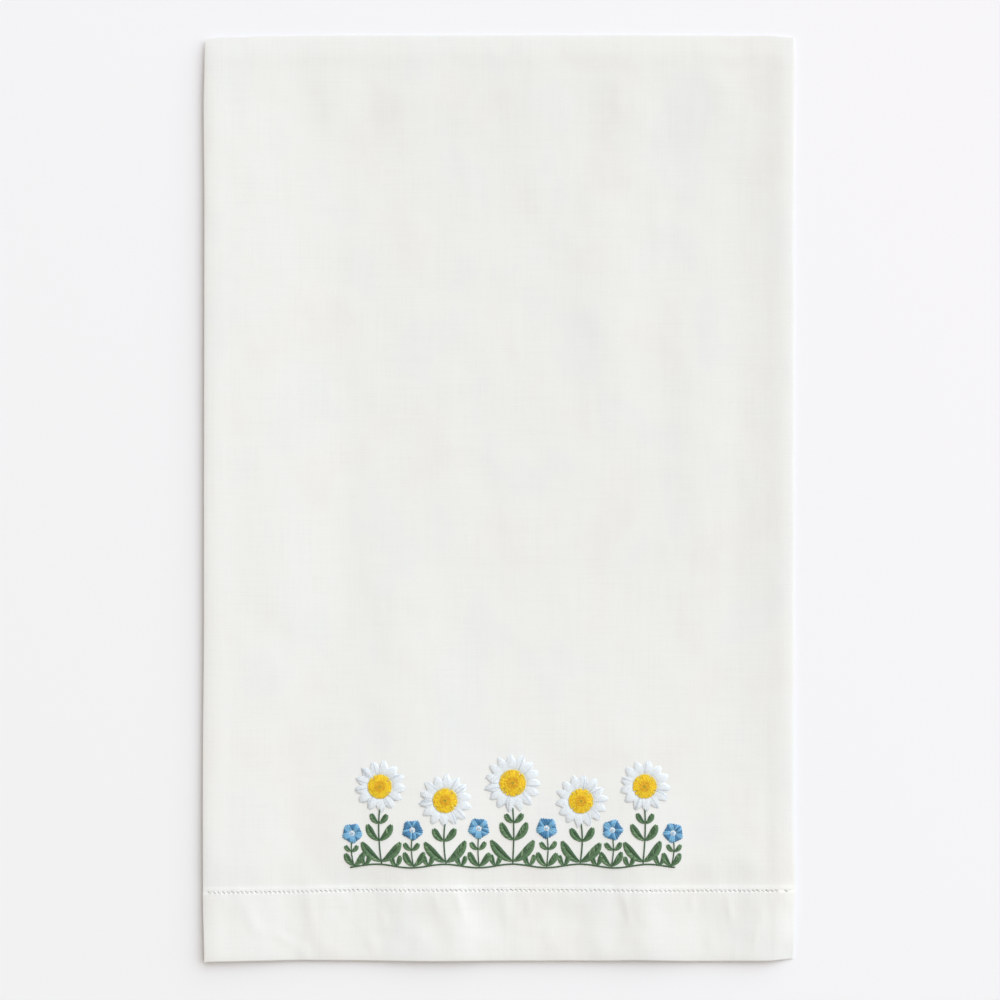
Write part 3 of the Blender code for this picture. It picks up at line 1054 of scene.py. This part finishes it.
def along_petal(centre, angle, inner, outer, side_way, wide, count=8):
    """A stitch's path down a petal: side_way is -1 to 1, from one side of it to the other."""
    points = []
    for i in range(count):
        share = i / (count - 1)
        reach = inner + (outer - inner) * share
        belly = 0.42 + 0.58 * math.sin(math.pi * (share * 0.78 + 0.08))     # widest past its middle
        off = side_way * wide * belly
        points.append((centre[0] + reach * math.cos(angle) - off * math.sin(angle),
                       centre[1] + reach * math.sin(angle) + off * math.cos(angle)))
    return points


def sew_petal(skeins, centre, angle, inner, outer, wide, strands):
    """Skeins are the petal's own and that of its few other stitches."""
    for k in range(strands):
        side_way = -1 + 2 * k / (strands - 1)
        shorter = (outer - inner) * PETAL_ROUND * abs(side_way) ** PETAL_ROUND_POWER
        tip = outer - shorter + chance.uniform(-0.5, 0.4) * MM
        near = inner + chance.uniform(0, 0.5) * MM
        skein = skeins[1] if k == 0 or chance.random() < PEARL_SHARE else skeins[0]
        path = along_petal(centre, angle, near, tip, side_way, wide)
        pad = PETAL_PAD - PETAL_PAD_DROP * side_way ** 2
        skein.lay(on_cloth(path, PETAL_RISE, pad), wide * PETAL_OVERLAP / strands, PETAL_THREAD_HIGH)


print("a petal's middle is padded by", round(PETAL_PAD / MM, 2), "mm")

# %% [markdown]
# ## A centre of knots
#
# The daisy's centre is filled with knots: the thread is wound round the needle before it goes back in,
# which leaves a small coil standing on the cloth. They stand in rings on a crossed bed of stitches, so
# that no petal shows between them, and the bed is higher in the middle.

# %% Knots
KNOT_SPACING = 1.35 * MM
KNOT_SIZE = 0.62 * MM
KNOT_TURNS = 1.5
BED_SPACING = 0.7 * MM
CROWN = 0.9 * MM
GOLD_WITHIN = 0.45                 # the share of the rings that is gold


def sew_knot(skein, x, y, size, turn, stand=0.0):
    """One knot: a thread wound into a small coil."""
    base = cloth_height(x, y) + stand
    path = []
    for i in range(11):
        share = i / 10
        angle = turn + share * KNOT_TURNS * 2 * math.pi
        wind = size * (0.55 + 0.35 * math.sin(math.pi * share))
        rise = 0.12 * MM + size * 0.9 * share * (1.2 - share)
        path.append((x + wind * math.cos(angle), y + wind * math.sin(angle), base + rise))
    skein.lay(path, size * 0.95, size * 0.85)


def sew_bed(skein, centre, radius):
    """Stitches across a round, both ways."""
    for off in np.arange(-radius * 0.95, radius, BED_SPACING):
        half = math.sqrt(radius ** 2 - off ** 2)
        for near, far in (((-half, off), (half, off)), ((off, -half), (off, half))):
            stitch(skein, np.add(centre, near), np.add(centre, far), 0.8 * MM, 0.5 * MM, 0.5 * MM)


def sew_centre(skeins, centre, radius):
    """Rings of knots on their bed, yellow outside, gold within and olive in the middle."""
    sew_bed(skeins[1], centre, radius)
    rings = max(2, round(radius / KNOT_SPACING))
    for ring in range(rings + 1):
        out = radius * ring / rings
        count = max(1, round(2 * math.pi * out / KNOT_SPACING))
        skein = skeins[2] if ring == 0 else skeins[1] if ring < rings * GOLD_WITHIN else skeins[0]
        stand = CROWN * (1 - (out / (radius * 1.25)) ** 2)
        for i in range(count):
            angle = 2 * math.pi * (i + 0.5 * (ring % 2)) / count + slip(0.08)
            reach = out + slip(0.08) * MM
            x, y = centre[0] + reach * math.cos(angle), centre[1] + reach * math.sin(angle)
            sew_knot(skein, x, y, KNOT_SIZE, angle * 3, stand)


print("knots stand", round(KNOT_SPACING / MM, 2), "mm apart")

# %% [markdown]
# ## A blossom
#
# A small blossom has five short petals round one pale knot. Each is five stitches, deep blue at its
# sides and mostly sky blue within, so the petals part without an outline.

# %% Blossom
BLOSSOM_PETALS = 5
BLOSSOM_STRANDS = 5
BLOSSOM_KNOT = 0.75 * MM


def sew_blossom(skeins, centre, radius, turn):
    """Skeins are sky, deep blue and ice."""
    for i in range(BLOSSOM_PETALS):
        angle = turn + 2 * math.pi * i / BLOSSOM_PETALS
        for k in range(BLOSSOM_STRANDS):
            side_way = -1 + 2 * k / (BLOSSOM_STRANDS - 1)
            tip = radius * (1 - 0.22 * side_way ** 2) + slip(0.2) * MM
            path = along_petal(centre, angle, 0.9 * MM, tip, side_way, radius * 0.36, count=6)
            skein = skeins[1] if abs(side_way) == 1 or chance.random() < 0.2 else skeins[0]
            skein.lay(on_cloth(path, 0.2 * MM, pad=0.35 * MM), radius * 0.2, 0.5 * MM)
    sew_knot(skeins[2], *centre, BLOSSOM_KNOT, turn, 0.35 * MM)


print("a blossom has", BLOSSOM_PETALS * BLOSSOM_STRANDS, "stitches and a knot")

# %% [markdown]
# ## A leaf
#
# A leaf is sewn in slanting stitches from its rib to its two edges, the light half in mid green and
# the other in dark, with a few light stitches. Its rib is a soft curve through three places, which is
# as much as a small leaf needs.

# %% Leaf
LEAF_SPACING = 0.58 * MM
LEAF_THREAD = (0.66 * MM, 0.42 * MM)
LEAF_SLANT = 0.9                   # how far a stitch leans along the leaf, against how far it goes out
LIGHT_SHARE = 0.16


def curve(start, bend, end, count):
    """Places along a soft curve that starts towards the bend and comes from it to the end."""
    a, b, c = (np.array(point, float) for point in (start, bend, end))
    shares = np.linspace(0, 1, count)[:, None]
    return (1 - shares) ** 2 * a + 2 * shares * (1 - shares) * b + shares ** 2 * c


def sew_leaf(skeins, root, bend, tip, wide):
    """Skeins are those of the leaf's left half, its right half and its few light stitches."""
    length = np.linalg.norm(np.array(tip) - np.array(root))
    count = max(6, round(length / LEAF_SPACING))
    rib = curve(root, bend, tip, count + 4)
    run = np.gradient(rib, axis=0)
    run /= np.linalg.norm(run, axis=1, keepdims=True)
    aside = np.stack([-run[:, 1], run[:, 0]], axis=1)
    for side, skein in ((1, skeins[0]), (-1, skeins[1])):
        for i in range(count):
            share = (i + 2) / (count + 3)
            half = wide / 2 * math.sin(math.pi * share ** 0.85) ** 0.75
            out = rib[i + 2] + (aside[i + 2] * side + run[i + 2] * LEAF_SLANT) * half
            start = rib[i] - aside[i] * side * 0.5 * MM
            chosen = skeins[2] if side > 0 and chance.random() < LIGHT_SHARE else skein
            stitch(chosen, start, out, *LEAF_THREAD, pad=0.2 * MM, count=5)


print("a leaf's stitches are", round(LEAF_SPACING / MM, 2), "mm apart")

# %% [markdown]
# ## A stem
#
# A stem is stem stitch: short slanting stitches that each start beside the middle of the last one,
# which makes a fine rope. The vine is the same stitch, only longer.

# %% Stem
STEM_STITCH = 1.5 * MM
STEM_BACK, STEM_ON = 0.5, 1.6      # where a stitch starts and ends, in stitches


def sew_stem(skein, path, wide):
    """Stem stitch along a path of close points."""
    path = np.asarray(path, float)
    metres = np.concatenate([[0], np.cumsum(np.linalg.norm(np.diff(path, axis=0), axis=1))])
    count = max(2, round(metres[-1] / STEM_STITCH))

    def at(stitches):
        distance = metres[-1] * min(max(stitches, 0.0), count) / count
        return np.array([np.interp(distance, metres, path[:, axis]) for axis in (0, 1)])

    for i in range(count):
        start, stop = at(i - STEM_BACK), at(i + STEM_ON)
        way = (stop - start) / np.linalg.norm(stop - start)
        off = np.array([-way[1], way[0]]) * wide * 0.22
        stitch(skein, start - off, stop + off, wide * 0.72, 0.5 * MM, pad=0.15 * MM)


print("a stem's stitches are", round(STEM_STITCH / MM, 2), "mm long")

# %% [markdown]
# ## The border
#
# The border is a plain mirrored row of sprigs on a waving vine: five daisies on tall stems with pairs
# of leaves, and six small blue blossoms low between them. Tables hold the right half and the middle,
# and a loop mirrors them. Hand sewing is never quite the same twice, so each half has its own slips.

# %% Layout
BORDER_MIDDLE = 0.0082
BORDER_FOOT = 0.0575 - LENGTH / 2
VINE_HALF = 0.0985
VINE_WAVE, VINE_HIGH = 0.0410, 0.0011

# Millimetres from the border's middle and foot. A leaf starts at a share of its stem, and leans from it
# by so many degrees
Leaf = namedtuple("Leaf", "at long wide lean")
Daisy = namedtuple("Daisy", "across up radius centre petals leaves")
Blossom = namedtuple("Blossom", "across up radius leaves")


def leaves(*rows):
    return [Leaf(*row) for row in rows]


DAISIES = [
    Daisy(0, 50.0, 19.0, 7.4, 15, leaves((0.06, 19, 6.6, 43), (0.40, 14, 5.8, 36), (0.68, 8, 4.4, 40))),
    Daisy(41, 39.5, 17.5, 6.8, 14, leaves((0.06, 18, 6.6, 43), (0.52, 11, 5.2, 38))),
    Daisy(80, 48.0, 17.0, 6.6, 13, leaves((0.06, 17, 6.4, 42), (0.40, 13, 5.6, 36), (0.68, 8, 4.2, 38))),
]
BLOSSOMS = [
    Blossom(20.5, 22.5, 7.4, leaves((0.05, 11, 4.8, 34), (0.50, 7, 3.8, 44))),
    Blossom(60.5, 21.5, 7.2, leaves((0.05, 11, 4.8, 34), (0.50, 7, 3.8, 44))),
    Blossom(97.0, 19.5, 7.0, leaves((0.05, 10, 4.6, 32), (0.50, 6, 3.4, 44))),
]
TUFTS = [10.2, 31.0, 50.8, 70.4, 88.8]     # where the vine has a pair of its own small leaves
TUFT_LEAF = Leaf(0, 7.5, 3.6, 20)


def spot(across, up):
    """A place on the towel from millimetres across and up from the border's middle and foot."""
    return (BORDER_MIDDLE + across * MM, BORDER_FOOT + up * MM)


def vine_up(across):
    """The vine's height at a distance across, the same on both sides, in millimetres."""
    return VINE_HIGH / MM * math.cos(2 * math.pi * across * MM / VINE_WAVE)


print("a border of", 2 * len(DAISIES) - 1, "daisies and", 2 * len(BLOSSOMS), "blossoms")

# %% [markdown]
# ## A sprig
#
# Every stem on the vine has its leaves in pairs, so a pair is one function and a sprig another, and
# both kinds of flower use them. A skein holds all the stitches of its colour, wherever they are, so the
# border becomes eleven meshes and not two thousand.

# %% Sprigs
STEM_WIDE, FINE_STEM_WIDE, VINE_WIDE = 1.15 * MM, 0.95 * MM, 1.3 * MM
LEAF_BEND = 24                     # how much more a leaf leans where it starts, in degrees
STEM_PLACES = 24
skeins = {name: Skein(name + "_stitches", finish) for name, finish in THREADS.items()}


def of(*names):
    return [skeins[name] for name in names]


def sew_pair(start, leaf):
    """Two leaves from one place, one to each hand."""
    upright = math.pi / 2
    mid, dark, light = of("mid_green", "dark_green", "light_green")
    for hand in (-1, 1):
        angle = upright - hand * math.radians(leaf.lean + slip(3))
        reach = (leaf.long + slip()) * MM
        tip = start + reach * np.array([math.cos(angle), math.sin(angle)])
        out = upright - hand * math.radians(leaf.lean + LEAF_BEND)
        bend = start + reach * 0.5 * np.array([math.cos(out), math.sin(out)])
        halves = [mid, dark, light] if hand < 0 else [dark, mid, light]
        sew_leaf(halves, start, bend, tip, leaf.wide * MM)


def sew_sprig(across, head, pairs, side, stem_wide):
    """A stem from the vine to its head, with leaves in pairs. Side is -1, 0 or 1."""
    root = (across * 0.985, vine_up(across))
    bend = (across + side * 1.5 + slip(), root[1] + (head - root[1]) * 0.55)
    stem = curve(spot(*root), spot(*bend), spot(across, head), STEM_PLACES)
    sew_stem(skeins["dark_green"], stem, stem_wide)
    for leaf in pairs:
        sew_pair(stem[round(leaf.at * (STEM_PLACES - 1))], leaf)


print(len(skeins), "skeins on", 2 * len(DAISIES + BLOSSOMS) - 1, "sprigs")

# %% [markdown]
# ## Sewing it
#
# The vine and its small leaves are sewn first, then the blossoms, and the daisies last, because their
# petals lie over what is behind them. Every flower turns and slips a little, as hand sewing does.

# %% Sew the border
PETAL_STRANDS = 9


def sew_daisy(daisy, side):
    across, up = daisy.across * side + slip(0.4), daisy.up + slip(0.4)
    sew_sprig(across, up - daisy.radius * 0.75, daisy.leaves, side, STEM_WIDE)
    centre, radius = spot(across, up), daisy.radius * MM
    turn = slip(0.2)
    inner = daisy.centre * 0.86 * MM
    wide = math.pi * radius * 0.74 / daisy.petals
    for i in range(daisy.petals):
        angle = turn + 2 * math.pi * (i + slip(0.06)) / daisy.petals
        outer = radius * (1 - 0.06 * chance.random())
        sew_petal(of("white", "pearl"), centre, angle, inner, outer, wide, PETAL_STRANDS)
    sew_centre(of("yellow", "gold", "olive"), centre, daisy.centre * MM)


def sew_small_blossom(blossom, side):
    across, up = blossom.across * side + slip(0.4), blossom.up + slip(0.4)
    sew_sprig(across, up - blossom.radius * 0.5, blossom.leaves, side, FINE_STEM_WIDE)
    sew_blossom(of("sky", "deep_blue", "ice"), spot(across, up), blossom.radius * MM, slip(0.6))


def sew_border():
    vine = [spot(x, vine_up(x)) for x in np.linspace(-VINE_HALF / MM, VINE_HALF / MM, 160)]
    sew_stem(skeins["dark_green"], vine, VINE_WIDE)
    for across in TUFTS:
        for side in (-1, 1):
            sew_pair(np.array(spot(across * side, vine_up(across))), TUFT_LEAF)
    for blossom in BLOSSOMS:
        for side in (-1, 1):
            sew_small_blossom(blossom, side)
    for daisy in DAISIES:
        for side in ((-1, 1) if daisy.across else (1,)):
            sew_daisy(daisy, side)
    return [skein.make() for skein in skeins.values()]


border = sew_border()

# %% [markdown]
# ## How many faces
#
# The faces of the cloth, the hemstitching and the border are counted together.

# %% Count the faces
faces = sum(len(piece.data.polygons) for piece in [cloth, hemstitching, *border])
print("faces in all", faces)
